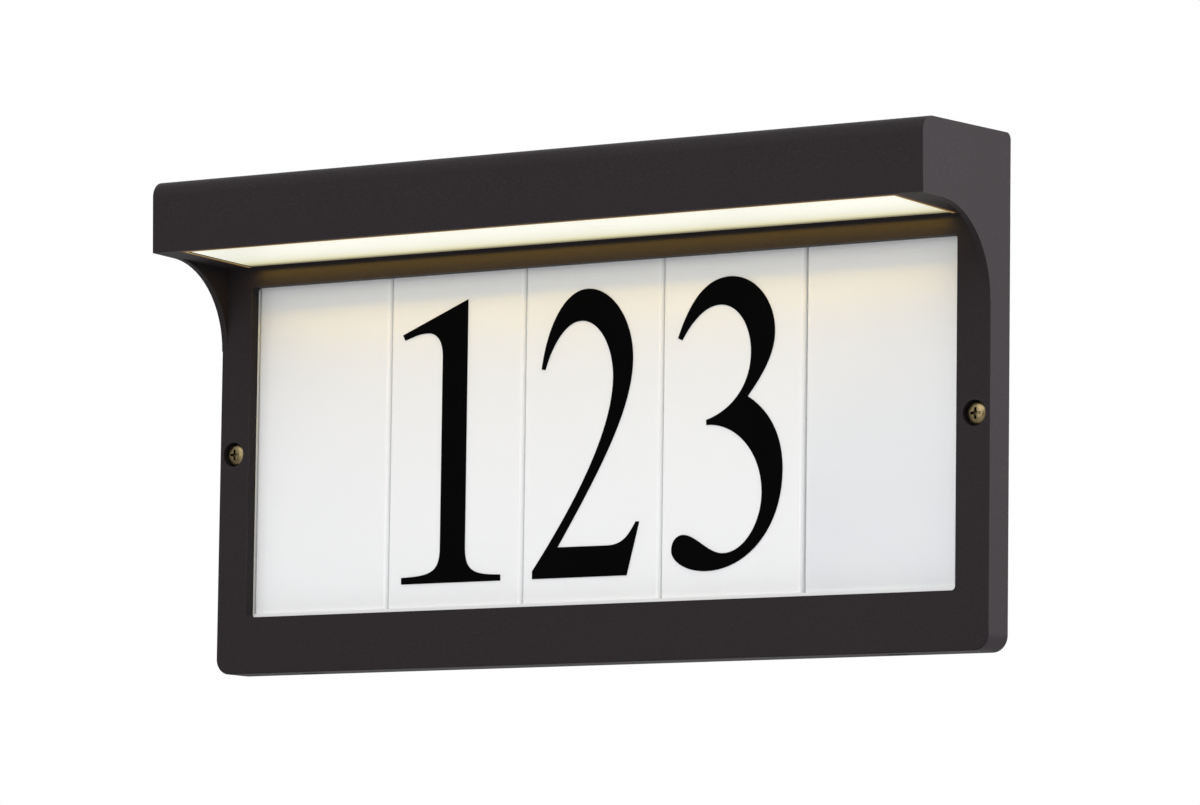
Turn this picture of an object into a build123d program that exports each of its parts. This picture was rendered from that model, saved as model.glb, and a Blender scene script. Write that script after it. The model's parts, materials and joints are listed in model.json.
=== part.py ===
from build123d import *
from math import atan, pi, tan
import os

# Illuminated house number sign for an outside wall, in millimetres.
# +X runs across the sign, +Z is up, the wall is the plane y = 0 and the sign stands out towards -Y.
# z = 0 is the bottom of the cast housing, and x = 0 is its middle.

# Housing: a window frame with a hood over it and a gusset at each side
width = 343.0
height_at_wall = 184.8
height_at_front = 184.1
frame_depth = 13.0
hood_reach = 57.5
hood_lean = 0.8  # the hood's face stands this much further out at its top
under_front = 156.8  # height of the hood's underside at its front edge
under_back = 155.3  # and where it meets the frame
draft = 0.015  # each side wall draws in by this much per millimetre from the wall
wall = 2.3
face_plate = 2.4
hood_floor = 2.2
bottom_corner = 6.0
hood_top_round = 6.0
back_top_round = 2.6
gusset_thickness = 2.8
gusset_radius = 32.5
outer_edge_round = 0.6

# Window and the lip cast round it
window_width = 315.0
window_low = 21.5
window_high = 148.0
window_corner = 1.5
lip_reach = 4.5  # from the frame's face to the back of the lip
lip_wall = 2.0

# Side screws, one in each side rail
screw_x = 164.9
screw_z = 84.0
screw_diameter = 4.0
head_diameter = 8.0
head_height = 2.3
head_sunk = 0.8
counterbore = 9.4
ring_thickness = 0.9
nut_bore = 4.12

# Tiles in their carrier
tile_height = 130.2
tile_thickness = 2.2
tile_face_y = -7.3
tile_row_left = -158.0
tile_widths = (62.6, 61.5, 61.5, 61.5, 67.4)
tile_gaps = (0.25, 0.25, 0.25, 0.7)
tile_edge_round = 1.7
carrier_width = 318.0
carrier_side = 0.8
carrier_back = 1.2
channel_floor_z = 20.2
channel_strip_top = 23.1
pocket_roof_z = 155.8
slide_gap = 0.05
carrier_screw_x = (-120.0, -40.0, 40.0, 120.0)
carrier_screw_z = 11.0
head_room = 11.0  # holes in the carrier that clear the heads of the screws into the wall
boss_web = 1.6

# Lens and light box in the hood
lens_width = 312.4
lens_front = -53.8
lens_back = -14.7
lens_gap = 0.3
lens_flange = 1.5
gasket_thickness = 1.0
board_z = 176.5
board_y = -35.0
board_width = 18.0
board_thickness = 1.6
pad_thickness = 0.5
led_pitch = 12.0
led_count = 24
board_screw_y = -40.0
board_screw_x = (-144.0, -48.0, 48.0, 144.0)
board_left = -153.0
board_right = 166.0
driver_x = (70.0, 150.0)
driver_mid_y = -7.4
terminal_x = (30.0, 56.0)
terminal_screw_x = 43.0
lead_diameter = 1.6

# Wall plate
plate_thickness = 1.5
plate_half_width = 168.6
plate_top = 181.0
box_screw_spacing = 88.9
box_screw_z = 132.0
anchor_spacing_x = 124.0
anchor_spacing_z = 134.0
anchor_centre_z = 103.0
entry_z = 169.0
entry_dish = 22.0
dish_height = 1.3

half = width / 2
front_y = -frame_depth


def underside(y):
    """Height of the hood's underside at depth y."""
    share = (y + frame_depth) / (frame_depth - hood_reach)
    return under_back + share * (under_front - under_back)


def block(x, y, z):
    """A box between pairs of limits along X, Y and Z."""
    size = Box(x[1] - x[0], y[1] - y[0], z[1] - z[0])
    return Pos((x[0] + x[1]) / 2, (y[0] + y[1]) / 2, (z[0] + z[1]) / 2) * size


def rod_y(x, z, diameter, y):
    """A round bar along Y between two depths."""
    bar = Rot(90, 0, 0) * Cylinder(diameter / 2, y[1] - y[0])
    return Pos(x, (y[0] + y[1]) / 2, z) * bar


def rod_z(x, y, diameter, z):
    """A round bar along Z between two heights."""
    return Pos(x, y, (z[0] + z[1]) / 2) * Cylinder(diameter / 2, z[1] - z[0])


def side_form(points, x_half, rounds=()):
    """A prism along X from a side outline of (y, z) points; rounds pairs a corner with its radius."""
    outline = make_face(Polyline(*[(0, y, z) for y, z in points], close=True))
    for corner, radius in rounds:
        near = outline.vertices().sort_by_distance((0, *corner))[0]
        outline = fillet(near, radius)
    return extrude(outline, x_half, dir=(1, 0, 0), both=True)


def slab(x_half, y, lift):
    """A flat slab that follows the slope of the hood's underside, lifted from it by two amounts."""
    corners = [(y[0], underside(y[0]) + lift[0]), (y[1], underside(y[1]) + lift[0])]
    corners += [(y[1], underside(y[1]) + lift[1]), (y[0], underside(y[0]) + lift[1])]
    return side_form(corners, x_half)


def plan_limit(inset):
    """The drafted outline seen from above, pulled in by inset."""
    reach = hood_reach + hood_lean + 2
    near = half - inset
    far = near - draft * reach
    outline = make_face(Polyline((-near, 2), (-far, -reach), (far, -reach), (near, 2), close=True))
    return extrude(outline, 200)


def front_limit(inset, corner):
    """The outline seen from the front, pulled in by inset, with its two lower corners rounded."""
    tall = 200 - inset
    outline = Pos(0, inset + tall / 2) * Rectangle(width - 2 * inset, tall)
    outline = fillet(outline.vertices().sort_by(Axis.Y)[:2], corner)
    return extrude(Plane.XZ * outline, 70, both=True)


def frame_side(x, x_width, y, z):
    """A pair of equal boxes, one at each side of the sign."""
    right = block((x, x + x_width), y, z)
    return right + mirror(right, Plane.YZ)


# ---------------------------------------------------------------- housing


def frame_form():
    """The frame's block: drafted sides, rounded lower corners and softened front edges."""
    near = half - draft * frame_depth
    outline = make_face(Polyline((-half, 0), (-near, front_y), (near, front_y), (half, 0), close=True))
    frame = extrude(outline, under_back)
    corners = [e for e in frame.edges().group_by(Axis.Z)[0] if abs(e.center().X) > half - 1]
    frame = fillet(corners, bottom_corner)
    face_edges = [e for e in frame.edges().group_by(Axis.Y)[0] if e.center().Z < under_back - 1]
    return fillet(face_edges, outer_edge_round)


def hood_form():
    """The hood over its full width, and the two gussets that curve down from it to the frame."""
    inner_corner = (front_y, under_back)
    outline = [(0, 90), (front_y, 90), inner_corner, (-hood_reach, under_front)]
    outline += [(-hood_reach - hood_lean, height_at_front), (0, height_at_wall)]
    rounds = [(outline[4], hood_top_round), (outline[5], back_top_round)]
    body = side_form(outline, half, rounds) & plan_limit(0)
    body = fillet([e for e in body.edges() if on_hood_end(e)], outer_edge_round)
    with_gusset = side_form(outline, half, rounds + [(inner_corner, gusset_radius)]) & plan_limit(0)
    between = half - gusset_thickness
    with_gusset -= block((-between, between), (-hood_reach - 5, front_y), (0, under_front))
    slope = atan((under_front - under_back) / (hood_reach - frame_depth))
    gusset_foot = under_back - gusset_radius / tan(pi / 4 + slope / 2)
    return body + with_gusset - block((-half - 1, half + 1), (-hood_reach, 1), (0, gusset_foot))


def on_hood_end(edge):
    """True for the front and top edges of the hood's two ends."""
    middle = edge.center()
    return abs(middle.X) > half - 2 and middle.Z > under_front + 1 and middle.Y < -0.1


def housing_cavity():
    """The hollow behind the face and inside the hood, open at the wall."""
    back = front_y + face_plate
    hood_back = -hood_reach + wall
    roof = height_at_front - face_plate
    outline = [(1, wall), (back, wall), (back, underside(back) + hood_floor)]
    outline += [(hood_back, underside(hood_back) + hood_floor), (hood_back - hood_lean, roof)]
    outline += [(1, height_at_wall - face_plate)]
    rounds = [((hood_back - hood_lean, roof), hood_top_round - wall)]
    hollow = side_form(outline, half - wall, rounds)
    return hollow & plan_limit(wall) & front_limit(wall, bottom_corner - wall)


def window_form(grow, y):
    """The window's rounded rectangle, grown on all sides, between two depths."""
    tall = window_high - window_low + 2 * grow
    outline = RectangleRounded(window_width + 2 * grow, tall, window_corner + grow)
    centre = Pos(0, (window_high + window_low) / 2)
    return Pos(0, y[1], 0) * extrude(Plane.XZ * (centre * outline), y[1] - y[0])


def ceiling_boss(x, y, low):
    """A round boss that hangs from the hood's ceiling, with a blind screw hole."""
    boss = rod_z(x, y, 7.0, (low, height_at_front - 0.8))
    return boss, rod_z(x, y, 3.0, (low - 1, height_at_front - 1.2))


def web(x):
    """The web under a carrier boss, sloped back to clear the carrier's channel."""
    root = front_y + face_plate - 0.5
    foot, top = wall - 0.5, window_low - lip_wall + 0.5
    crest = carrier_back_y() - 0.8
    under_lip = front_y + lip_reach - 0.4
    side_view = [(root, foot), (crest, foot), (crest, carrier_screw_z), (under_lip, top - 2)]
    side_view += [(under_lip, top), (root, top)]
    return Pos(x, 0, 0) * side_form(side_view, boss_web / 2)


def housing():
    """The casting, with its lip, bosses, screw seats, lens opening and drain slots."""
    body = frame_form() + hood_form()
    body -= housing_cavity()
    face_back = front_y + face_plate
    lip_back = front_y + lip_reach
    body += window_form(lip_wall, (face_back - 0.5, lip_back))
    body -= window_form(0, (front_y - 1, lip_back + 1))

    # Seats for the side screws
    inner_x = window_width / 2 + lip_wall
    seat = frame_side(inner_x, half - wall - inner_x, (face_back, -5.2), (screw_z - 6.5, screw_z + 6.5))
    body += seat
    seat_y = head_seat_y()
    for x in (-screw_x, screw_x):
        body -= rod_y(x, screw_z, counterbore, (front_y - 1, seat_y))
        body -= rod_y(x, screw_z, 4.6, (seat_y - 1, 0))

    # Bosses for the tile carrier, each on a web from the bottom wall to the lip
    for x in carrier_screw_x:
        body += rod_y(x, carrier_screw_z, 7.0, (face_back - 0.5, carrier_back_y())) + web(x)
        body -= rod_y(x, carrier_screw_z, 2.6, (face_back, 0))

    # Lens opening, the rail that carries the light board, and the bosses in the ceiling
    body -= slab(lens_width / 2 + lens_gap, (lens_front - lens_gap, lens_back + lens_gap), (-1, 3))
    rail_low = board_z + board_thickness + pad_thickness
    rail_y = (board_y - board_width / 2, board_y + board_width / 2)
    body += block((board_left, board_right), rail_y, (rail_low, height_at_front - 1.5))
    for x in board_screw_x:
        body -= rod_z(x, board_screw_y, 3.0, (rail_low - 1, height_at_front - 1.2))
    for x, low in ((driver_x[0] - 6, 179.0), (driver_x[1] + 6, 179.0), (terminal_screw_x, 179.5)):
        boss, hole = ceiling_boss(x, driver_mid_y, low)
        body += boss
        body -= hole

    # Drain slots in the bottom wall
    for x in (-130, 130):
        slot = extrude(Pos(x, -6) * SlotOverall(10, 2.5), wall + 2)
        body -= Pos(0, 0, -1) * slot
    return body


def head_seat_y():
    """Depth of the counterbore's floor, under the screw head and its ring."""
    return front_y + head_sunk + head_height + ring_thickness


# ---------------------------------------------------------------- side screws


def side_screw(x):
    """A pan-head screw with a cross recess, its axis along Y."""
    head_top = front_y + head_sunk
    under_head = head_top + head_height
    radius = head_diameter / 2
    crown = 0.9
    shoulder, top = (radius, head_height - crown), (0, head_height)
    outline = Polyline((0, 0), (radius, 0), shoulder)
    outline += ThreePointArc(shoulder, (radius * 0.62, head_height - 0.22), top)
    outline += Line(top, (0, 0))
    head = revolve(Plane.XZ * make_face(outline), Axis.Z)
    arms = block((-2.1, 2.1), (-0.5, 0.5), (1.0, 3)) + block((-0.5, 0.5), (-2.1, 2.1), (1.0, 3))
    head -= arms + Pos(0, 0, 2) * Cylinder(1.0, 2.4)
    head = Pos(x, under_head, screw_z) * (Rot(90, 0, 0) * head)
    return head + rod_y(x, screw_z, screw_diameter, (under_head - 0.2, -0.4))


def screw_ring(x):
    """The sealing ring under a screw head."""
    seat = head_seat_y()
    ring = rod_y(x, screw_z, counterbore - 0.5, (seat - ring_thickness + 0.05, seat))
    ring = fillet(ring.edges().filter_by(GeomType.CIRCLE), 0.35)
    return ring - rod_y(x, screw_z, screw_diameter + 0.5, (seat - 2, seat + 1))


# ---------------------------------------------------------------- tiles and carrier


def carrier_back_y():
    """Front of the carrier's back panel, just behind the tiles."""
    return tile_face_y + tile_thickness + 0.2


def tile_carrier():
    """The white tray: back panel, lower channel with its strip, side walls and the deep upper pocket."""
    side = carrier_width / 2
    front = front_y + lip_reach
    strip_back = tile_face_y - 0.2
    panel = carrier_back_y()
    low = channel_floor_z - 1.3
    roof = pocket_roof_z + 1.2
    tray = block((-side, side), (panel, panel + carrier_back), (5.0, roof))
    tray += block((-side, side), (front, panel), (low, channel_floor_z))
    tray += block((-side, side), (front, strip_back), (low, channel_strip_top))
    tray += block((-side, side), (front, panel), (pocket_roof_z, roof))
    tray += block((-side, side), (front, strip_back), (window_high + 1.5, roof))
    tray += frame_side(side - carrier_side, carrier_side, (front, panel), (low, roof))

    # Holes for the carrier's own screws, and room for the heads of the screws that hold the wall plate
    through = (panel - 1, panel + 3)
    for x in carrier_screw_x:
        tray -= rod_y(x, carrier_screw_z, 3.2, through)
    slot = extrude(Plane.XZ * SlotOverall(head_room + 8, head_room), 10, both=True)
    for x in (-box_screw_spacing / 2, box_screw_spacing / 2):
        tray -= Pos(x, panel + 5, box_screw_z) * slot
    for x in (-anchor_spacing_x / 2, anchor_spacing_x / 2):
        tray -= rod_y(x, anchor_centre_z - anchor_spacing_z / 2, head_room, through)
    return tray


def number_tile(left, tile_width):
    """A flat tile with rounded upright edges, standing on the channel's floor."""
    low = channel_floor_z + slide_gap
    depth = (tile_face_y, tile_face_y + tile_thickness)
    body = block((left, left + tile_width), depth, (low, low + tile_height))
    upright = body.edges().filter_by(Axis.Z).group_by(Axis.Y)[0]
    return fillet(upright, tile_edge_round)


def carrier_screw(x):
    """A small pan-head screw behind the carrier's lower flange, its head towards the wall."""
    seat = carrier_back_y() + carrier_back
    return rod_y(x, carrier_screw_z, 5.4, (seat, seat + 1.7)) + rod_y(x, carrier_screw_z, 2.5, (-10.2, seat))


# ---------------------------------------------------------------- lens and light box


def hood_lens():
    """The opal lens: a shallow tray with a flange that rests on the hood's floor."""
    low = hood_floor + gasket_thickness
    top = low + lens_flange
    lens = slab(lens_width / 2, (lens_front, lens_back), (0.3, top))
    lens += slab(lens_width / 2 + 3.3, (lens_front - 1.2, lens_back + 2.1), (low, top))
    return lens - slab(lens_width / 2 - 2, (lens_front + 2, lens_back - 2), (2.3, top + 1))


def lens_gasket():
    """The silicone ring between the flange and the hood's floor."""
    lift = (hood_floor, hood_floor + gasket_thickness)
    ring = slab(lens_width / 2 + 3.1, (lens_front - 1.1, lens_back + 1.9), lift)
    return ring - slab(lens_width / 2 + 0.4, (lens_front - 0.35, lens_back + 0.35), (0, 9))


def light_box(inset):
    """The reflector's outside form, or its inside when it is pulled in by inset."""
    foot = hood_floor + gasket_thickness + lens_flange
    front, back = lens_front - 0.8 + inset, lens_back + 1.7 - inset
    rail = board_width / 2 - inset
    side_view = [(front, underside(front) + foot), (back, underside(back) + foot)]
    side_view += [(board_y + rail, board_z - inset), (board_y - rail, board_z - inset)]
    wide, narrow = lens_width / 2 + 2.3 - inset, 150.0 - inset
    low = side_view[1][1] - 2
    front_view = [(-wide, 0, low), (wide, 0, low), (narrow, 0, board_z), (-narrow, 0, board_z)]
    across = make_face(Polyline(*front_view, close=True))
    return side_form(side_view, 170) & extrude(across, 70, dir=(0, 1, 0), both=True)


def reflector():
    """The folded white light box, open over the lens and slotted for the row of LEDs."""
    sheet = light_box(0) - light_box(0.8)
    foot = hood_floor + gasket_thickness + lens_flange
    sheet -= slab(155, (lens_front + 0.2, lens_back + 0.7), (foot - 2, foot + 0.6))
    sheet -= block((-141, 141), (board_y - 2.5, board_y + 2.5), (board_z - 2, board_z + 1))
    for x in board_screw_x:
        sheet -= rod_z(x, board_screw_y, 3.2, (board_z - 2, board_z + 1))
    return sheet


def board_layer(low, thickness):
    """One flat layer of the light board's outline, with its screw holes."""
    y = (board_y - board_width / 2, board_y + board_width / 2)
    layer = block((board_left, board_right), y, (low, low + thickness))
    for x in board_screw_x:
        layer -= rod_z(x, board_screw_y, 3.2, (low - 1, low + thickness + 1))
    return layer


def led_packages():
    """The row of LED packages on the underside of the board."""
    start = -led_pitch * (led_count - 1) / 2
    leds = []
    for i in range(led_count):
        x = start + i * led_pitch
        leds.append(block((x - 1.5, x + 1.5), (board_y - 1.5, board_y + 1.5), (board_z - 0.7, board_z)))
    return leds


def ceiling_screw(x, y, seat, tip):
    """A small pan-head screw that points up, its head under seat."""
    head = Pos(x, y, seat - 0.95) * Cylinder(2.7, 1.9)
    head = fillet(head.edges().group_by(Axis.Z)[0], 0.8)
    return head + rod_z(x, y, 2.9, (seat - 0.1, tip))


def led_driver():
    """The slim driver with a screw tab at each end."""
    case = block(driver_x, (-12.2, -2.6), (160.6, 177.6))
    case = fillet(case.edges().filter_by(Axis.X), 1.2)
    case += block((driver_x[0] - 10, driver_x[1] + 10), (-11, -3.8), (177.6, 179.0))
    for x in (driver_x[0] - 6, driver_x[1] + 6):
        case -= rod_z(x, driver_mid_y, 3.2, (176, 180))
    return case


def terminal_block():
    """The three-way terminal block, with its wire entries and clamp screw wells."""
    case = block(terminal_x, (-12.0, -3.0), (164.0, 179.5))
    for i in range(3):
        x = terminal_x[0] + 4.5 + i * 8.5
        case -= block((x - 2, x + 2), (-5.5, -2.5), (166, 171))
        case -= rod_y(x, 174.5, 4.0, (-5.0, -2.0))
    hole = rod_z(terminal_screw_x, driver_mid_y, 3.2, (163, 180))
    return case - hole - rod_z(terminal_screw_x, driver_mid_y, 6.2, (163, 170))


def board_connector():
    """The plug-in connector under the board's end."""
    case = block((156.0, 165.0), (-39.0, -31.0), (board_z - 5.5, board_z))
    return chamfer(case.edges().group_by(Axis.Z)[0], 0.5)


def lead(points, radius):
    """An insulated lead along a route of straight runs and round bends."""
    route = FilletPolyline(*points, radius=radius)
    return sweep(Plane(origin=route @ 0, z_dir=route % 0) * Circle(lead_diameter / 2), route)


def board_leads():
    """Two leads from the driver's end to the board's connector."""
    leads = []
    for z in (172.0, 174.4):
        leads.append(lead([(driver_x[1], -9.4, z), (160.5, -9.4, z), (160.5, -31.0, z)], 6.0))
    return leads


def supply_leads():
    """Two short leads from the terminal block to the driver."""
    leads = []
    for z in (168.0, 172.0):
        length = driver_x[0] - terminal_x[1]
        bar = Rot(0, 90, 0) * Cylinder(lead_diameter / 2, length)
        leads.append(Pos(terminal_x[1] + length / 2, -9.4, z) * bar)
    return leads


# ---------------------------------------------------------------- wall plate and its fittings


def bead(x, z, length):
    """A pressed stiffening bead: its ridge in front of the plate and its groove behind."""
    place = Pos(x, z)
    ridge = extrude(Plane.XZ * (place * SlotOverall(length, 8)), 0.8)
    groove = extrude(Plane.XZ * (place * SlotOverall(length - 3, 5)), 0.8)
    return Pos(0, -plate_thickness, 0) * ridge, groove


def wall_plate():
    """The pressed steel plate: a tall middle panel crossed by a band that reaches both side screws."""
    sheet = (-plate_thickness, 0)
    panel = block((-75, 75), sheet, (24, plate_top))
    band = block((-plate_half_width, plate_half_width), sheet, (screw_z - 22, screw_z + 22))
    plate = panel + band
    corners = plate.edges().filter_by(Axis.Y)
    plate = fillet(corners.filter_by(lambda e: abs(e.center().X) > 74), 5)
    for x in (-118, 118):
        ridge, groove = bead(x, screw_z, 64)
        plate = plate + ridge - groove
    window = RectangleRounded(70, 44, 5)
    plate -= extrude(Plane.XZ * (Pos(0, screw_z - 8) * window), 5)

    # Raised ring that gives the grommet room in front of the wall
    plate += rod_y(0, entry_z, entry_dish, (-plate_thickness - dish_height, 0))
    plate -= rod_y(0, entry_z, entry_dish - 3, (-dish_height, 1))
    plate -= rod_y(0, entry_z, 12.5, (-5, 1))

    # Slots for the junction box, holes for wall anchors, nuts and the earth screw
    slot = extrude(Plane.XZ * SlotOverall(12, 4.6), 5)
    for x in (-box_screw_spacing / 2, box_screw_spacing / 2):
        plate -= Pos(x, 1, box_screw_z) * slot
    for x in (-anchor_spacing_x / 2, anchor_spacing_x / 2):
        for z in (anchor_centre_z - anchor_spacing_z / 2, anchor_centre_z + anchor_spacing_z / 2):
            plate -= rod_y(x, z, 5.0, (-5, 1))
    for x in (-screw_x, screw_x):
        plate -= rod_y(x, screw_z, 5.4, (-5, 1))
    return plate - rod_y(-30, entry_z, 4.0, (-5, 1))


def clinch_nut(x):
    """A nut pressed into the plate, its barrel towards the room."""
    nut = rod_y(x, screw_z, 6.8, (-4.7, -plate_thickness)) + rod_y(x, screw_z, 5.4, (-plate_thickness, -0.1))
    return nut - rod_y(x, screw_z, nut_bore, (-5, 1))


def wire_grommet():
    """The rubber grommet in the wire entry, with a flange on each side of the sheet."""
    sheet_back = -dish_height
    sheet_front = sheet_back - plate_thickness
    body = rod_y(0, entry_z, 12.5, (sheet_front, sheet_back))
    body += rod_y(0, entry_z, 17.0, (sheet_front - 1.4, sheet_front))
    body += rod_y(0, entry_z, 16.0, (sheet_back, -0.1))
    return body - rod_y(0, entry_z, 8.0, (-6, 1))


def ground_screw():
    """The earth screw with its washer head and driver slot."""
    head = rod_y(-30, entry_z, 8.2, (-2.3, -plate_thickness)) + rod_y(-30, entry_z, 6.6, (-4.2, -2.3))
    head -= block((-33, -27), (-4.5, -3.4), (entry_z - 0.5, entry_z + 0.5))
    return head + rod_y(-30, entry_z, 3.9, (-plate_thickness, -0.1))


# ---------------------------------------------------------------- write one file for each piece


def write(name, shape):
    """Writes one piece, or one group of equal pieces, to its file."""
    solids = shape if isinstance(shape, list) else [shape]
    export_step(Compound(children=[s for part in solids for s in part.solids()]), f"parts/{name}.step")


def main():
    os.makedirs("parts", exist_ok=True)
    write("housing", housing())
    write("side_screw_left", side_screw(-screw_x))
    write("side_screw_right", side_screw(screw_x))
    write("screw_o_rings", [screw_ring(-screw_x), screw_ring(screw_x)])

    write("tile_carrier", tile_carrier())
    write("carrier_screws", [carrier_screw(x) for x in carrier_screw_x])
    left = tile_row_left
    for number, tile_width in enumerate(tile_widths, start=1):
        write(f"number_tile_{number}", number_tile(left, tile_width))
        if number <= len(tile_gaps):
            left += tile_width + tile_gaps[number - 1]

    write("hood_lens", hood_lens())
    write("lens_gasket", lens_gasket())
    write("reflector", reflector())
    write("led_board", board_layer(board_z, board_thickness))
    write("thermal_pad", board_layer(board_z + board_thickness, pad_thickness))
    write("led_packages", led_packages())
    tip = height_at_front - 1.4
    write("board_screws", [ceiling_screw(x, board_screw_y, board_z - 0.8, tip) for x in board_screw_x])

    write("led_driver", led_driver())
    write("terminal_block", terminal_block())
    hangers = [ceiling_screw(x, driver_mid_y, 177.6, tip) for x in (driver_x[0] - 6, driver_x[1] + 6)]
    hangers.append(ceiling_screw(terminal_screw_x, driver_mid_y, 170.0, tip))
    write("driver_screws", hangers)
    write("board_connector", board_connector())
    write("board_leads", board_leads())
    write("supply_leads", supply_leads())

    write("wall_plate", wall_plate())
    write("clinch_nuts", [clinch_nut(-screw_x), clinch_nut(screw_x)])
    write("wire_grommet", wire_grommet())
    write("ground_screw", ground_screw())


main()
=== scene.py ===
import json
import math

import bpy
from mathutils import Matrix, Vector

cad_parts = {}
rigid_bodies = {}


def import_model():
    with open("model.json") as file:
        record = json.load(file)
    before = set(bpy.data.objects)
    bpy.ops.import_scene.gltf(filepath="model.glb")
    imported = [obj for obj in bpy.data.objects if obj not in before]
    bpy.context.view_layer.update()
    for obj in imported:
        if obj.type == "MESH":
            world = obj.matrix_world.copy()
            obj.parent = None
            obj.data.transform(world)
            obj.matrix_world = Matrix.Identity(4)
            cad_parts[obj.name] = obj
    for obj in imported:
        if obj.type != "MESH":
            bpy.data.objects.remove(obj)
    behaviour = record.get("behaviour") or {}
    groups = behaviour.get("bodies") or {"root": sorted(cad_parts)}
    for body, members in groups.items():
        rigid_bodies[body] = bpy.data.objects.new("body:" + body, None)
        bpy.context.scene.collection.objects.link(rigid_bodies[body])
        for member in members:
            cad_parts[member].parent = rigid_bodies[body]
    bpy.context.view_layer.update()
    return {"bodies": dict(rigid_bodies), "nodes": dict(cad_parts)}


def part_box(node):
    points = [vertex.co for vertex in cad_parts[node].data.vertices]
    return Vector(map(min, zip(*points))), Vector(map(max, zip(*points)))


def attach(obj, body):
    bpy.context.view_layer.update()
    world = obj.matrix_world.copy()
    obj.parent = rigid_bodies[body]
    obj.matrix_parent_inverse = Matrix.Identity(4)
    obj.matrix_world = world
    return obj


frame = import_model()
nodes = frame["nodes"]
scene = bpy.context.scene
mm = 0.001
print("stage: frame loaded")

# Camera, from the photograph's own viewpoint
viewpoint = {
    "place": (1.3216, -1.9256, -0.1535),
    "turn": (96.123, -0.750, 34.468),  # degrees about X, Y and Z
    "lens": 190.95,
    "nearest": 0.05,
}


def makeCamera(view):
    camera = bpy.data.objects.new("viewCamera", bpy.data.cameras.new("viewCamera"))
    camera.location = view["place"]
    camera.rotation_euler = [math.radians(angle) for angle in view["turn"]]
    camera.data.lens = view["lens"]
    camera.data.clip_start = view["nearest"]
    scene.collection.objects.link(camera)
    scene.camera = camera


makeCamera(viewpoint)
scene.view_settings.view_transform = "Standard"


# Small helpers for node trees

def addNode(tree, kind, **settings):
    node = tree.nodes.new(kind)
    for name, value in settings.items():
        setattr(node, name, value)
    return node


def feed(tree, socket, source):  # links a socket, or sets a plain value
    if isinstance(source, bpy.types.NodeSocket):
        tree.links.new(source, socket)
    else:
        socket.default_value = source


def colour(rgb):
    return (*rgb, 1.0)


def math2(tree, kind, first, second, clamp=False):
    node = addNode(tree, "ShaderNodeMath", operation=kind, use_clamp=clamp)
    feed(tree, node.inputs[0], first)
    feed(tree, node.inputs[1], second)
    return node.outputs[0]


def remap(tree, value, low, high, newLow=0.0, newHigh=1.0):
    node = addNode(tree, "ShaderNodeMapRange")
    feed(tree, node.inputs["Value"], value)
    ends = {"From Min": low, "From Max": high, "To Min": newLow, "To Max": newHigh}
    for name, end in ends.items():
        feed(tree, node.inputs[name], end)
    return node.outputs["Result"]


def mixColour(tree, share, first, second, blend="MIX"):
    node = addNode(tree, "ShaderNodeMix", data_type="RGBA", blend_type=blend)
    feed(tree, node.inputs["Factor"], share)
    feed(tree, node.inputs["A"], first)
    feed(tree, node.inputs["B"], second)
    return node.outputs["Result"]


def objectPlace(tree):  # a point's place in the piece's own metres, split into X, Y and Z
    split = addNode(tree, "ShaderNodeSeparateXYZ")
    feed(tree, split.inputs[0], addNode(tree, "ShaderNodeTexCoord").outputs["Object"])
    return split.outputs


def facingSplit(tree):  # which way the surface faces, split into X, Y and Z
    split = addNode(tree, "ShaderNodeSeparateXYZ")
    feed(tree, split.inputs[0], addNode(tree, "ShaderNodeNewGeometry").outputs["Normal"])
    return split.outputs


def noise(tree, vector, scale, detail=3.0, rough=0.5):
    node = addNode(tree, "ShaderNodeTexNoise")
    feed(tree, node.inputs["Vector"], vector)
    feed(tree, node.inputs["Scale"], scale)
    feed(tree, node.inputs["Detail"], detail)
    feed(tree, node.inputs["Roughness"], rough)
    return node.outputs["Fac"]


def newGroup(name, inputs, outputs):
    group = bpy.data.node_groups.new(name, "ShaderNodeTree")
    for label, kind, value in inputs:
        socket = group.interface.new_socket(name=label, in_out="INPUT", socket_type=kind)
        socket.default_value = value
    for label, kind in outputs:
        group.interface.new_socket(name=label, in_out="OUTPUT", socket_type=kind)
    entry = addNode(group, "NodeGroupInput")
    leave = addNode(group, "NodeGroupOutput")
    place = addNode(group, "ShaderNodeTexCoord").outputs["Object"]
    return group, entry.outputs, leave.inputs, place


number, tone = "NodeSocketFloat", "NodeSocketColor"  # the groups' kinds of socket
effects = {  # what stays the same wherever an effect is used; a span runs from none to full
    "driftSpan": (0.20, 0.80),
    "cellShare": 0.6, "speckSpan": (0.58, 0.72),
    "edgeSpan": (0.995, 0.90), "wornPatches": (0.40, 0.62),
    "upwardSpan": (0.55, 1.0), "dustPatches": (0.35, 0.70), "dustScale": 90.0,
    # the next row shapes the painted shade in recesses
    "recessSpan": (0.80, 0.45), "paintedShadePatches": (0.30, 0.60), "paintedShadeScale": 900.0, "paintedShadeLeast": 0.6,
}


def mottleGroup():  # slow drift of tone over a surface
    inputs = [("Colour", tone, (1, 1, 1, 1)), ("Second", tone, (1, 1, 1, 1)), ("Scale", number, 30.0)]
    group, entry, leave, place = newGroup("mottle", inputs, [("Colour", tone), ("Mask", number)])
    drift = remap(group, noise(group, place, entry["Scale"], detail=4.0), *effects["driftSpan"])
    feed(group, leave["Colour"], mixColour(group, drift, entry["Colour"], entry["Second"]))
    feed(group, leave["Mask"], drift)
    return group


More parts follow.
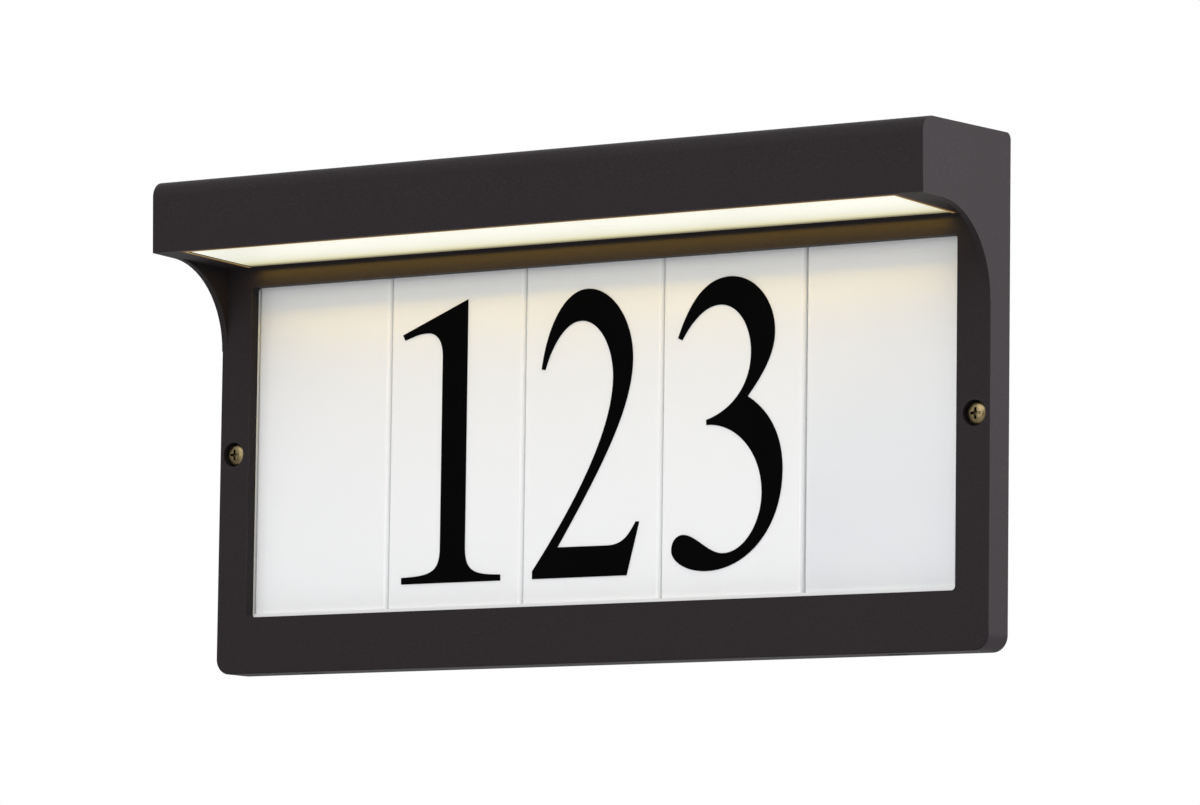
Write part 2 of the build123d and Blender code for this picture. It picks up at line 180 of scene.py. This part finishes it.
def grainGroup():  # fine surface texture: rounded grains over a soft ripple
    inputs = [("Scale", number, 1500.0), ("Ripple", number, 400.0)]
    group, entry, leave, place = newGroup("grain", inputs, [("Height", number), ("Speck", number)])
    cells = addNode(group, "ShaderNodeTexVoronoi", feature="SMOOTH_F1")
    feed(group, cells.inputs["Vector"], place)
    feed(group, cells.inputs["Scale"], entry["Scale"])
    ripple = noise(group, place, entry["Ripple"], detail=2.0)
    grains = math2(group, "MULTIPLY", cells.outputs["Distance"], effects["cellShare"])
    feed(group, leave["Height"], math2(group, "ADD", grains, ripple))
    speck = remap(group, noise(group, place, entry["Scale"], detail=1.0), *effects["speckSpan"])
    feed(group, leave["Speck"], speck)
    return group


def wearGroup():  # edges rubbed a little lighter, in broken patches
    inputs = [("Width", number, 0.0008), ("Patches", number, 60.0)]
    group, entry, leave, place = newGroup("edgeWear", inputs, [("Mask", number)])
    bevel = addNode(group, "ShaderNodeBevel", samples=6)
    feed(group, bevel.inputs["Radius"], entry["Width"])
    facing = addNode(group, "ShaderNodeNewGeometry").outputs["Normal"]
    turned = addNode(group, "ShaderNodeVectorMath", operation="DOT_PRODUCT")
    feed(group, turned.inputs[0], bevel.outputs["Normal"])
    feed(group, turned.inputs[1], facing)
    edge = remap(group, turned.outputs["Value"], *effects["edgeSpan"])
    patches = remap(group, noise(group, place, entry["Patches"], detail=5.0), *effects["wornPatches"])
    feed(group, leave["Mask"], math2(group, "MULTIPLY", edge, patches, True))
    return group


def dustGroup():  # pale dust that settles on faces turned upwards
    group, entry, leave, place = newGroup("dust", [("Amount", number, 0.1)], [("Mask", number)])
    upward = remap(group, facingSplit(group)["Z"], *effects["upwardSpan"])
    cloud = noise(group, place, effects["dustScale"], detail=5.0, rough=0.6)
    patches = remap(group, cloud, *effects["dustPatches"])
    settled = math2(group, "MULTIPLY", upward, patches)
    feed(group, leave["Mask"], math2(group, "MULTIPLY", settled, entry["Amount"], True))
    return group


def linesGroup():  # drawn or rolled lines along X
    inputs = [("Along", number, 12.0), ("Across", number, 1400.0)]
    group, entry, leave, place = newGroup("drawnLines", inputs, [("Height", number)])
    split = addNode(group, "ShaderNodeSeparateXYZ")
    feed(group, split.inputs[0], place)
    joined = addNode(group, "ShaderNodeCombineXYZ")
    feed(group, joined.inputs["X"], math2(group, "MULTIPLY", split.outputs["X"], entry["Along"]))
    feed(group, joined.inputs["Y"], math2(group, "MULTIPLY", split.outputs["Y"], entry["Across"]))
    feed(group, joined.inputs["Z"], math2(group, "MULTIPLY", split.outputs["Z"], entry["Across"]))
    feed(group, leave["Height"], noise(group, joined.outputs[0], 1.0))
    return group


def recessShadeGroup():  # painted shade: darkens recesses and corners, in uneven patches
    group, entry, leave, place = newGroup("paintedRecessShade", [("Reach", number, 0.001)], [("Mask", number)])
    shade = addNode(group, "ShaderNodeAmbientOcclusion", samples=8)
    feed(group, shade.inputs["Distance"], entry["Reach"])
    deep = remap(group, shade.outputs["AO"], *effects["recessSpan"])
    cloud = noise(group, place, effects["paintedShadeScale"])
    patches = remap(group, cloud, *effects["paintedShadePatches"], effects["paintedShadeLeast"], 1.0)
    feed(group, leave["Mask"], math2(group, "MULTIPLY", deep, patches, True))
    return group


mottle, grain, edgeWear = mottleGroup(), grainGroup(), wearGroup()
dust, drawnLines, paintedRecessShade = dustGroup(), linesGroup(), recessShadeGroup()


def placeGroup(tree, group, **values):
    node = addNode(tree, "ShaderNodeGroup", node_tree=group)
    for name, value in values.items():
        feed(tree, node.inputs[name], value)
    return node.outputs


# A finish has its two tones, the scale of their drift and of the grain, how rough it is, and how deep its
# bumps are. The rest is only there where it is wanted, and "shader" sets the shader's own sockets.
everyFinish = {"depth": 0.00005, "rippleShare": 0.25, "dustColour": (0.42, 0.40, 0.37)}


def makeFinish(name, values):
    look = {**everyFinish, **values}
    material = bpy.data.materials.new(name)
    material.use_nodes = True
    tree = material.node_tree
    shader = tree.nodes["Principled BSDF"]
    tones = {"Colour": colour(look["colour"]), "Second": colour(look["second"])}
    drift = placeGroup(tree, mottle, Scale=look["drift"], **tones)
    surface = drift["Colour"]
    texture = placeGroup(tree, grain, Scale=look["grain"], Ripple=look["grain"] * look["rippleShare"])
    if "paintedLitTop" in look:  # painted light: lighter towards the top, where less of the hood's shade falls
        upward = remap(tree, objectPlace(tree)["Z"], *look["paintedLitSpan"])
        surface = mixColour(tree, upward, surface, colour(look["paintedLitTop"]))
    if "speck" in look:
        share = math2(tree, "MULTIPLY", texture["Speck"], look["speckShare"])
        surface = mixColour(tree, share, surface, colour(look["speck"]))
    if "worn" in look:
        mask = placeGroup(tree, edgeWear, Width=look["wornWidth"])["Mask"]
        share = math2(tree, "MULTIPLY", mask, look["wornShare"])
        surface = mixColour(tree, share, surface, colour(look["worn"]))
    # painted shade in recesses, such as the screws' cross recess
    if "paintedRecessShade" in look:
        mask = placeGroup(tree, paintedRecessShade, Reach=look["paintedShadeReach"])["Mask"]
        surface = mixColour(tree, mask, surface, colour(look["paintedRecessShade"]))
    if "dust" in look:
        mask = placeGroup(tree, dust, Amount=look["dust"])["Mask"]
        surface = mixColour(tree, mask, surface, colour(look["dustColour"]))
    feed(tree, shader.inputs["Base Color"], surface)
    feed(tree, shader.inputs["Roughness"], remap(tree, drift["Mask"], 0, 1, *look["rough"]))
    height = texture["Height"]
    if "lines" in look:
        lines = placeGroup(tree, drawnLines, Across=look["lines"])["Height"]
        height = math2(tree, "ADD", height, lines)
    bump = addNode(tree, "ShaderNodeBump")
    feed(tree, bump.inputs["Strength"], look["bump"])
    feed(tree, bump.inputs["Distance"], look["depth"])
    feed(tree, bump.inputs["Height"], height)
    feed(tree, shader.inputs["Normal"], bump.outputs["Normal"])
    for socket, value in look.get("shader", {}).items():
        shader.inputs[socket].default_value = value
    return material


def dress(nodeName, material):
    node = nodes[nodeName]
    for materialSlot in node.material_slots:
        materialSlot.material = material
    if not node.material_slots:
        node.data.materials.append(material)


print("stage: node groups ready")

# Cast housing: dark bronze powder coat with a fine texture
powderCoat = {
    "colour": (0.0182, 0.0150, 0.0170), "second": (0.0212, 0.0173, 0.0190), "drift": 14.0,
    "grain": 1700.0, "speck": (0.056, 0.049, 0.052), "speckShare": 0.25,
    "worn": (0.040, 0.034, 0.031), "wornWidth": 0.0009, "wornShare": 0.55,
    "dust": 0.02, "rough": (0.48, 0.56), "bump": 0.35, "depth": 0.00006,
    "shader": {"Specular IOR Level": 0.08},
}
paintedRimLight = {  # painted light: emission on the hood's underside where the front and ends of the opening would catch the lens light
    "halfWidth": 0.1565, "front": -0.0541, "back": -0.0148, "below": 0.1574,
    "reach": 0.0030, "fade": 3.0, "facing": -0.5, "strength": 0.70,
    "near": (0.90, 0.70, 0.28), "far": (0.22, 0.085, 0.012),
}


# Paints the lens light on the opening's edges as emission in the housing's own finish, not light from a
# lamp
def addPaintedRimLight(material, look):
    tree = material.node_tree
    place = objectPlace(tree)
    aside = math2(tree, "SUBTRACT", math2(tree, "ABSOLUTE", place["X"], 0), look["halfWidth"])
    ahead = math2(tree, "SUBTRACT", look["front"], place["Y"])
    near = remap(tree, math2(tree, "MAXIMUM", aside, ahead), look["reach"], 0.0)
    low = math2(tree, "LESS_THAN", place["Z"], look["below"])
    forward = math2(tree, "LESS_THAN", place["Y"], look["back"])  # none on the margin behind the lens
    down = math2(tree, "LESS_THAN", facingSplit(tree)["Z"], look["facing"])
    share = near
    for mask in (low, forward, down):
        share = math2(tree, "MULTIPLY", share, mask)
    tint = math2(tree, "POWER", near, look["fade"])
    glow = mixColour(tree, tint, colour(look["far"]), colour(look["near"]))
    glow = mixColour(tree, share, colour((0, 0, 0)), glow)
    shader = tree.nodes["Principled BSDF"]
    feed(tree, shader.inputs["Emission Color"], glow)
    shader.inputs["Emission Strength"].default_value = look["strength"]
    return material


dress("housing", addPaintedRimLight(makeFinish("powderCoat", powderCoat), paintedRimLight))

# Tiles: satin white acrylic, and the wide one greyer, with painted light that lightens it towards its top
tileAcrylic = {
    "colour": (0.835, 0.850, 0.855), "second": (0.850, 0.862, 0.864), "drift": 9.0, "grain": 900.0,
    "rough": (0.26, 0.34), "bump": 0.10, "depth": 0.00002,
    "shader": {
        "Subsurface Weight": 0.4, "Subsurface Scale": 0.003, "Subsurface Radius": (1.0, 1.0, 1.0),
        "Coat Weight": 0.10, "Coat Roughness": 0.12,
    },
}
greyTilePaintedLitTop = {
    "colour": (0.725, 0.750, 0.770), "second": (0.765, 0.785, 0.795), "drift": 26.0, "grain": 900.0,
    # painted light: the top turns as pale as the other tiles, standing in for the hood's weaker shade
    # there
    "paintedLitTop": (0.850, 0.860, 0.865), "paintedLitSpan": (0.060, 0.145),
    "rough": (0.30, 0.42), "bump": 0.12, "depth": 0.00003,
    "shader": {
        "Subsurface Weight": 0.4, "Subsurface Scale": 0.003, "Subsurface Radius": (1.0, 1.0, 1.0),
    },
}
tileFinish = makeFinish("tileAcrylic", tileAcrylic)
for tile in range(1, 5):
    dress(f"number_tile_{tile}", tileFinish)
dress("number_tile_5", makeFinish("greyTilePaintedLitTop", greyTilePaintedLitTop))

# Carrier behind the tiles: white moulding with a fine spark-eroded grain
carrierPlastic = {
    "colour": (0.86, 0.87, 0.87), "second": (0.89, 0.90, 0.89), "drift": 25.0, "grain": 1100.0,
    "rough": (0.42, 0.52), "bump": 0.25, "depth": 0.00004, "dust": 0.04,
}
dress("tile_carrier", makeFinish("carrierPlastic", carrierPlastic))

# Metals
yellowZinc = {
    "colour": (0.085, 0.064, 0.030), "second": (0.24, 0.19, 0.10), "drift": 520.0, "grain": 2600.0,
    "worn": (0.34, 0.29, 0.18), "wornWidth": 0.0003, "wornShare": 0.5,
    # painted shade darkens the recesses of the screw heads
    "paintedRecessShade": (0.008, 0.006, 0.004), "paintedShadeReach": 0.0012,
    "rough": (0.26, 0.42), "bump": 0.30, "depth": 0.00004, "shader": {"Metallic": 1.0},
}
brightZinc = {
    "colour": (0.60, 0.62, 0.64), "second": (0.72, 0.73, 0.74), "drift": 300.0, "grain": 2400.0,
    "worn": (0.82, 0.82, 0.80), "wornWidth": 0.0003, "wornShare": 0.5,
    "rough": (0.24, 0.38), "bump": 0.20, "depth": 0.00003, "shader": {"Metallic": 1.0},
}
rolledZinc = {
    "colour": (0.46, 0.48, 0.49), "second": (0.62, 0.64, 0.65), "drift": 110.0, "grain": 700.0,
    "lines": 1600.0,
    "worn": (0.74, 0.75, 0.75), "wornWidth": 0.0005, "wornShare": 0.5,
    "rough": (0.34, 0.50), "bump": 0.20, "depth": 0.00003, "shader": {"Metallic": 1.0},
}
earthGreen = {
    "colour": (0.03, 0.22, 0.07), "second": (0.05, 0.30, 0.10), "drift": 300.0, "grain": 1500.0,
    "worn": (0.50, 0.52, 0.48), "wornWidth": 0.0003, "wornShare": 0.7,
    "rough": (0.30, 0.42), "bump": 0.2,
}
screwFinish = makeFinish("yellowZinc", yellowZinc)
for side in ("left", "right"):
    dress(f"side_screw_{side}", screwFinish)
zincFinish = makeFinish("brightZinc", brightZinc)
for fixing in ("carrier_screws", "board_screws", "driver_screws", "clinch_nuts"):
    dress(fixing, zincFinish)
dress("wall_plate", makeFinish("rolledZinc", rolledZinc))
dress("ground_screw", makeFinish("earthGreen", earthGreen))

# Rubber, silicone and the electrical pieces
blackRubber = {
    "colour": (0.012, 0.012, 0.013), "second": (0.022, 0.021, 0.021), "drift": 200.0, "grain": 1300.0,
    "rough": (0.55, 0.70), "bump": 0.30, "dust": 0.05,
}
clearSilicone = {
    "colour": (0.58, 0.59, 0.57), "second": (0.66, 0.66, 0.64), "drift": 120.0, "grain": 1000.0,
    "rough": (0.35, 0.45), "bump": 0.15,
    "shader": {"Subsurface Weight": 0.3, "Subsurface Scale": 0.002},
}
reflectorEnamel = {
    "colour": (0.84, 0.84, 0.82), "second": (0.88, 0.88, 0.86), "drift": 30.0, "grain": 900.0,
    "worn": (0.62, 0.63, 0.64), "wornWidth": 0.0004, "wornShare": 0.4,
    "rough": (0.28, 0.38), "bump": 0.15,
}
boardMask = {
    "colour": (0.80, 0.82, 0.80), "second": (0.84, 0.85, 0.82), "drift": 60.0, "grain": 1600.0,
    "speck": (0.60, 0.62, 0.60), "speckShare": 0.3, "rough": (0.30, 0.40), "bump": 0.12,
}
padSilicone = {
    "colour": (0.30, 0.33, 0.37), "second": (0.36, 0.38, 0.42), "drift": 80.0, "grain": 1200.0,
    "rough": (0.60, 0.72), "bump": 0.35,
}
phosphor = {
    "colour": (0.86, 0.66, 0.14), "second": (0.92, 0.78, 0.26), "drift": 500.0, "grain": 2200.0,
    "rough": (0.30, 0.40), "bump": 0.15,
    "shader": {"Subsurface Weight": 0.2, "Subsurface Scale": 0.001},
}
driverCase = {
    "colour": (0.74, 0.74, 0.72), "second": (0.79, 0.79, 0.77), "drift": 60.0, "grain": 1000.0,
    "rough": (0.42, 0.52), "bump": 0.30,
}
terminalPlastic = {
    "colour": (0.34, 0.35, 0.36), "second": (0.40, 0.41, 0.42), "drift": 90.0, "grain": 1000.0,
    "rough": (0.40, 0.52), "bump": 0.25,
}
creamPlastic = {
    "colour": (0.76, 0.71, 0.56), "second": (0.81, 0.76, 0.62), "drift": 120.0, "grain": 1200.0,
    "rough": (0.38, 0.48), "bump": 0.2,
}
leadSleeve = {
    "colour": (0.05, 0.05, 0.055), "second": (0.075, 0.075, 0.08), "drift": 150.0, "grain": 1200.0,
    "rough": (0.32, 0.44), "bump": 0.2,
}
plainPieces = (
    ("screw_o_rings", "blackRubber", blackRubber, "black_rubber"),
    ("wire_grommet", "grommetRubber", blackRubber, "black_rubber"),
    ("lens_gasket", "clearSilicone", clearSilicone, "clear_silicone"),
    ("reflector", "reflectorEnamel", reflectorEnamel, "reflector_white"),
    ("led_board", "boardMask", boardMask, "board_white"),
    ("thermal_pad", "padSilicone", padSilicone, "pad_grey"),
    ("led_packages", "phosphor", phosphor, "led_phosphor"),
    ("led_driver", "driverCase", driverCase, "driver_case"),
    ("terminal_block", "terminalPlastic", terminalPlastic, "terminal_grey"),
    ("board_connector", "creamPlastic", creamPlastic, "connector_cream"),
    ("board_leads", "leadSleeve", leadSleeve, "lead_insulation"),
    ("supply_leads", "supplySleeve", leadSleeve, "lead_insulation"),
)
for nodeName, finishName, look, slotName in plainPieces:
    dress(nodeName, makeFinish(finishName, look))
print("stage: finishes on the frame's pieces")

# Opal lens, lit from inside: its glow fades and yellows towards the rear edge
opalLens = {
    "colour": (0.34, 0.33, 0.29), "second": (0.34, 0.33, 0.29), "drift": 40.0, "grain": 1400.0,
    "rough": (0.30, 0.40), "bump": 0.10, "shader": {"Emission Strength": 0.73},
    "flange": 2.1,  # mm of its rear edge that the hood hides
    "glow": (  # distance from there in mm, colour
        (0.4, (0.10, 0.075, 0.020)), (2.2, (0.36, 0.33, 0.15)), (4.5, (0.72, 0.68, 0.41)),
        (8.5, (0.93, 0.91, 0.66)), (17.0, (0.99, 1.0, 0.86)), (33.0, (1.0, 1.0, 0.89)),
        (38.4, (0.98, 0.99, 0.84)), (39.1, (0.84, 0.60, 0.24)),
    ),
    "cloudScale": 22.0, "cloudSpan": (0.3, 0.7), "cloudLeast": 0.97,
}


def makeLens(look):
    material = makeFinish("opalLens", look)
    tree = material.node_tree
    place = addNode(tree, "ShaderNodeTexCoord").outputs["Object"]
    split = addNode(tree, "ShaderNodeSeparateXYZ")
    feed(tree, split.inputs[0], place)
    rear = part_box("hood_lens")[1].y - look["flange"] * mm
    reach = look["glow"][-1][0] * mm
    along = remap(tree, split.outputs["Y"], rear, rear - reach)
    ramp = addNode(tree, "ShaderNodeValToRGB")
    stops = ramp.color_ramp.elements
    while len(stops) < len(look["glow"]):
        stops.new(1.0)
    for stop, (distance, tint) in zip(stops, look["glow"]):
        stop.position, stop.color = distance * mm / reach, colour(tint)
    feed(tree, ramp.inputs[0], along)
    drift = noise(tree, place, look["cloudScale"])
    cloud = remap(tree, drift, *look["cloudSpan"], look["cloudLeast"], 1.0)
    glow = mixColour(tree, 1.0, ramp.outputs["Color"], cloud, "MULTIPLY")
    feed(tree, tree.nodes["Principled BSDF"].inputs["Emission Color"], glow)
    return material


dress("hood_lens", makeLens(opalLens))

# Light that the lens throws down over the tiles, and the amber spill from its rear edge onto the rail
lensLamps = {
    "sideInset": 0.0055, "below": 0.0012,
    "lamps": (
        # name, front and back end, power, colour
        ("lensLight", (-0.0518, -0.0400), 0.005, (1.0, 0.72, 0.32)),
        ("edgeLight", (-0.0175, -0.0150), 0.0350, (1.0, 0.63, 0.02)),
    ),
}


def lightLens(look, name, ends, power, tint):
    low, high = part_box("hood_lens")
    front, back = ends
    lamp = bpy.data.objects.new(name, bpy.data.lights.new(name, "AREA"))
    lamp.data.shape = "RECTANGLE"
    lamp.data.size = high.x - low.x - 2 * look["sideInset"]
    lamp.data.size_y = back - front
    lamp.data.energy = power
    lamp.data.color = tint
    lamp.location = (0, (front + back) / 2, low.z - look["below"])
    lamp.visible_camera = False
    scene.collection.objects.link(lamp)
    lamp.parent = frame["bodies"]["housing_group"]


for lampValues in lensLamps["lamps"]:
    lightLens(lensLamps, *lampValues)
print("stage: lens lit")

# Numerals: thin black film, each on its own tile, drawn in mm from the tile's middle and the numerals'
# foot. Each point has its place, then the curve's handle before it and after it, as steps from the point.
still = (0, 0)  # no handle
numeralFilm = {"thickness": 0.16, "footHeight": 11.85, "smooth": 20}
numeralOne = {
    "tile": 2,
    "outline": [
        ((-25.1, 94.1), still, still), ((4.9, 106.1), still, still), ((5.0, 13.4), still, (0, -9.3)),
        ((21.3, 2.3), (-12.5, 0.3), still), ((21.4, 0), still, still), ((-24.2, 0), still, still),
        ((-24.2, 2.5), still, (14, 0.3)), ((-6.5, 13.4), (0, -9.3), still),
        ((-6.5, 84.9), still, (0, 5.8)), ((-13.6, 94.2), (4.6, 0), (-4, 0)),
        ((-24.0, 92.0), (4.5, 1.4), still),
    ],
}
numeralTwo = {
    "tile": 3,
    "outline": [
        ((-22.9, 77.8), still, (2.3, 16)), ((-2.6, 106.8), (-10.5, 0), (10.6, 0)),
        ((18.0, 79.7), (0, 15), (0, -18)), ((-14.7, 11.4), (19.5, 29), still),
        ((7.4, 11.3), still, (7, 0)), ((20.0, 19.7), (-3.1, -5), still), ((21.6, 19.6), still, still),
        ((16.3, 0), still, still), ((-26.0, 0), still, still), ((-26.0, 2.9), still, (16.6, 21.5)),
        ((9.2, 73.2), (0, -21), (0, 12)), ((-5.3, 95.0), (7.8, 0), (-8.3, 0)),
        ((-21.2, 77.5), (2.1, 6.5), still),
    ],
}
numeralThree = {
    "tile": 4,
    "outline": [
        ((-24.0, 86.1), still, (5.4, 14)), ((-1.3, 107.6), (-10.5, 0), (10.5, 0)),
        ((18.2, 86.4), (0, 11.5), (0, -9.5)), ((6.7, 63.3), (4.4, 5.3), (8.6, -5)),
        ((22.0, 35.9), (0, 13.5), (0, -22)), ((-10.6, 0.3), (17, 0), (-8.5, 0)),
        ((-25.9, 8.4), (0, -4.3), (0, 3.2)), ((-20.9, 13.9), (-2.9, 0), (5.5, 0)),
        ((-3.3, 6.6), (-6.5, 0), (9, 0)), ((13.1, 27.9), (0, -11), (0, 15)),
        ((-11.2, 53.6), (12.6, 0.5), still), ((-11.3, 55.5), still, (9.5, 2.5)),
        ((7.9, 79.4), (0, -13.5), (0, 10)), ((-5.7, 97.4), (7.5, 0), (-7.5, 0)),
        ((-22.1, 85.2), (3.3, 5.2), still),
    ],
}
filmBlack = {
    "colour": (0.0006, 0.0006, 0.0008), "second": (0.0012, 0.0012, 0.0015), "drift": 60.0, "grain": 1200.0,
    "rough": (0.34, 0.44), "bump": 0.15, "depth": 0.00002,
    "shader": {"Specular IOR Level": 0.015},
}


def makeNumeral(name, look, material):
    outline, tile = look["outline"], look["tile"]
    low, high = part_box(f"number_tile_{tile}")
    thickness = numeralFilm["thickness"] * mm
    shape = bpy.data.curves.new(name, "CURVE")
    shape.dimensions = "2D"
    shape.fill_mode = "BOTH"
    shape.extrude = thickness / 2
    shape.resolution_u = numeralFilm["smooth"]
    line = shape.splines.new("BEZIER")
    line.bezier_points.add(len(outline) - 1)
    line.use_cyclic_u = True
    for point, (place, before, after) in zip(line.bezier_points, outline):
        point.handle_left_type = point.handle_right_type = "FREE"
        point.co = (place[0] * mm, place[1] * mm, 0)
        point.handle_left = ((place[0] + before[0]) * mm, (place[1] + before[1]) * mm, 0)
        point.handle_right = ((place[0] + after[0]) * mm, (place[1] + after[1]) * mm, 0)
    curve = bpy.data.objects.new(name + "Curve", shape)
    scene.collection.objects.link(curve)
    film = bpy.data.objects.new(name, bpy.data.meshes.new_from_object(curve))
    bpy.data.objects.remove(curve)
    film.rotation_euler.x = math.radians(90)
    foot = low.z + numeralFilm["footHeight"] * mm
    film.location = ((low.x + high.x) / 2, low.y - thickness / 2, foot)
    scene.collection.objects.link(film)
    film.data.materials.append(material)
    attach(film, f"tile_{tile}")


filmFinish = makeFinish("filmBlack", filmBlack)
makeNumeral("numeralOne", numeralOne, filmFinish)
makeNumeral("numeralTwo", numeralTwo, filmFinish)
makeNumeral("numeralThree", numeralThree, filmFinish)
print("stage: numerals on the tiles")

# Studio: pale floor, white surroundings and soft lamps
studio = {
    "floorHeight": -0.42, "floorSize": 9.0,
    "floorColour": (0.55, 0.55, 0.55), "floorSeen": (0.74, 0.74, 0.74),
    "floorPaper": {"drift": 2.0, "grain": 300.0, "rough": (0.8, 0.9), "bump": 0.05},
    "ambient": (0.99, 0.98, 1.0), "ambientLevel": 0.44, "white": (1.0, 1.0, 1.0),
    "lamps": (
        # name, place, aim, size, power, colour
        ("keyLamp", (0.1, -1.6, 1.6), (0, 0, 0.10), 1.8, 30.0, (0.99, 0.985, 1.0)),
        ("fillLamp", (-0.1, -2.2, 0.2), (0, 0, 0.10), 0.8, 7.0, (1.0, 1.0, 1.0)),
        ("sideLamp", (2.0, 1.0, 0.7), (0.17, 0, 0.1), 1.2, 65.0, (0.99, 0.97, 1.0)),
    ),
}


def raysThatShow(tree):  # rays from the camera, straight, mirrored or through glass
    path = addNode(tree, "ShaderNodeLightPath").outputs
    mirrored = math2(tree, "MAXIMUM", path["Is Glossy Ray"], path["Is Transmission Ray"])
    return math2(tree, "MAXIMUM", path["Is Camera Ray"], mirrored)


def mixShader(tree, share, first, second, out):
    mixed = addNode(tree, "ShaderNodeMixShader")
    for socket, source in zip(mixed.inputs, (share, first, second)):
        tree.links.new(source, socket)
    tree.links.new(mixed.outputs[0], out)


def makeWorld(look):
    world = bpy.data.worlds.new("studioWorld")
    world.use_nodes = True
    scene.world = world
    tree = world.node_tree
    ambient = tree.nodes["Background"]
    ambient.inputs["Color"].default_value = colour(look["ambient"])
    ambient.inputs["Strength"].default_value = look["ambientLevel"]
    white = addNode(tree, "ShaderNodeBackground")  # seen as plain white, but lights as the ambient
    white.inputs["Color"].default_value = colour(look["white"])
    surface = tree.nodes["World Output"].inputs["Surface"]
    mixShader(tree, raysThatShow(tree), ambient.outputs[0], white.outputs[0], surface)


def makeFloor(look):
    half = look["floorSize"] / 2
    mesh = bpy.data.meshes.new("studioFloor")
    corners = [(-half, -half, 0), (half, -half, 0), (half, half, 0), (-half, half, 0)]
    mesh.from_pydata(corners, [], [(0, 1, 2, 3)])
    floor = bpy.data.objects.new("studioFloor", mesh)
    floor.location.z = look["floorHeight"]
    scene.collection.objects.link(floor)
    tones = {"colour": look["floorColour"], "second": look["floorColour"]}
    paper = makeFinish("floorPaper", {**look["floorPaper"], **tones})
    tree = paper.node_tree
    shader = tree.nodes["Principled BSDF"]
    seen = raysThatShow(tree)  # looks paler than it lights
    painted = shader.inputs["Base Color"].links[0].from_socket
    feed(tree, shader.inputs["Base Color"], mixColour(tree, seen, painted, colour(look["floorSeen"])))
    # From underneath the floor is clear, so that the lens in the hood can be looked at
    through = addNode(tree, "ShaderNodeBsdfTransparent")
    back = addNode(tree, "ShaderNodeNewGeometry").outputs["Backfacing"]
    surface = tree.nodes["Material Output"].inputs["Surface"]
    mixShader(tree, back, shader.outputs[0], through.outputs[0], surface)
    mesh.materials.append(paper)


def makeLamp(name, place, aim, size, power, tint):
    lamp = bpy.data.objects.new(name, bpy.data.lights.new(name, "AREA"))
    lamp.data.size = size
    lamp.data.energy = power
    lamp.data.color = tint
    lamp.location = place
    lamp.rotation_euler = (Vector(aim) - Vector(place)).to_track_quat("-Z", "Y").to_euler()
    lamp.visible_camera = False
    scene.collection.objects.link(lamp)


makeWorld(studio)
makeFloor(studio)
for lampValues in studio["lamps"]:
    makeLamp(*lampValues)
print("stage: studio ready")
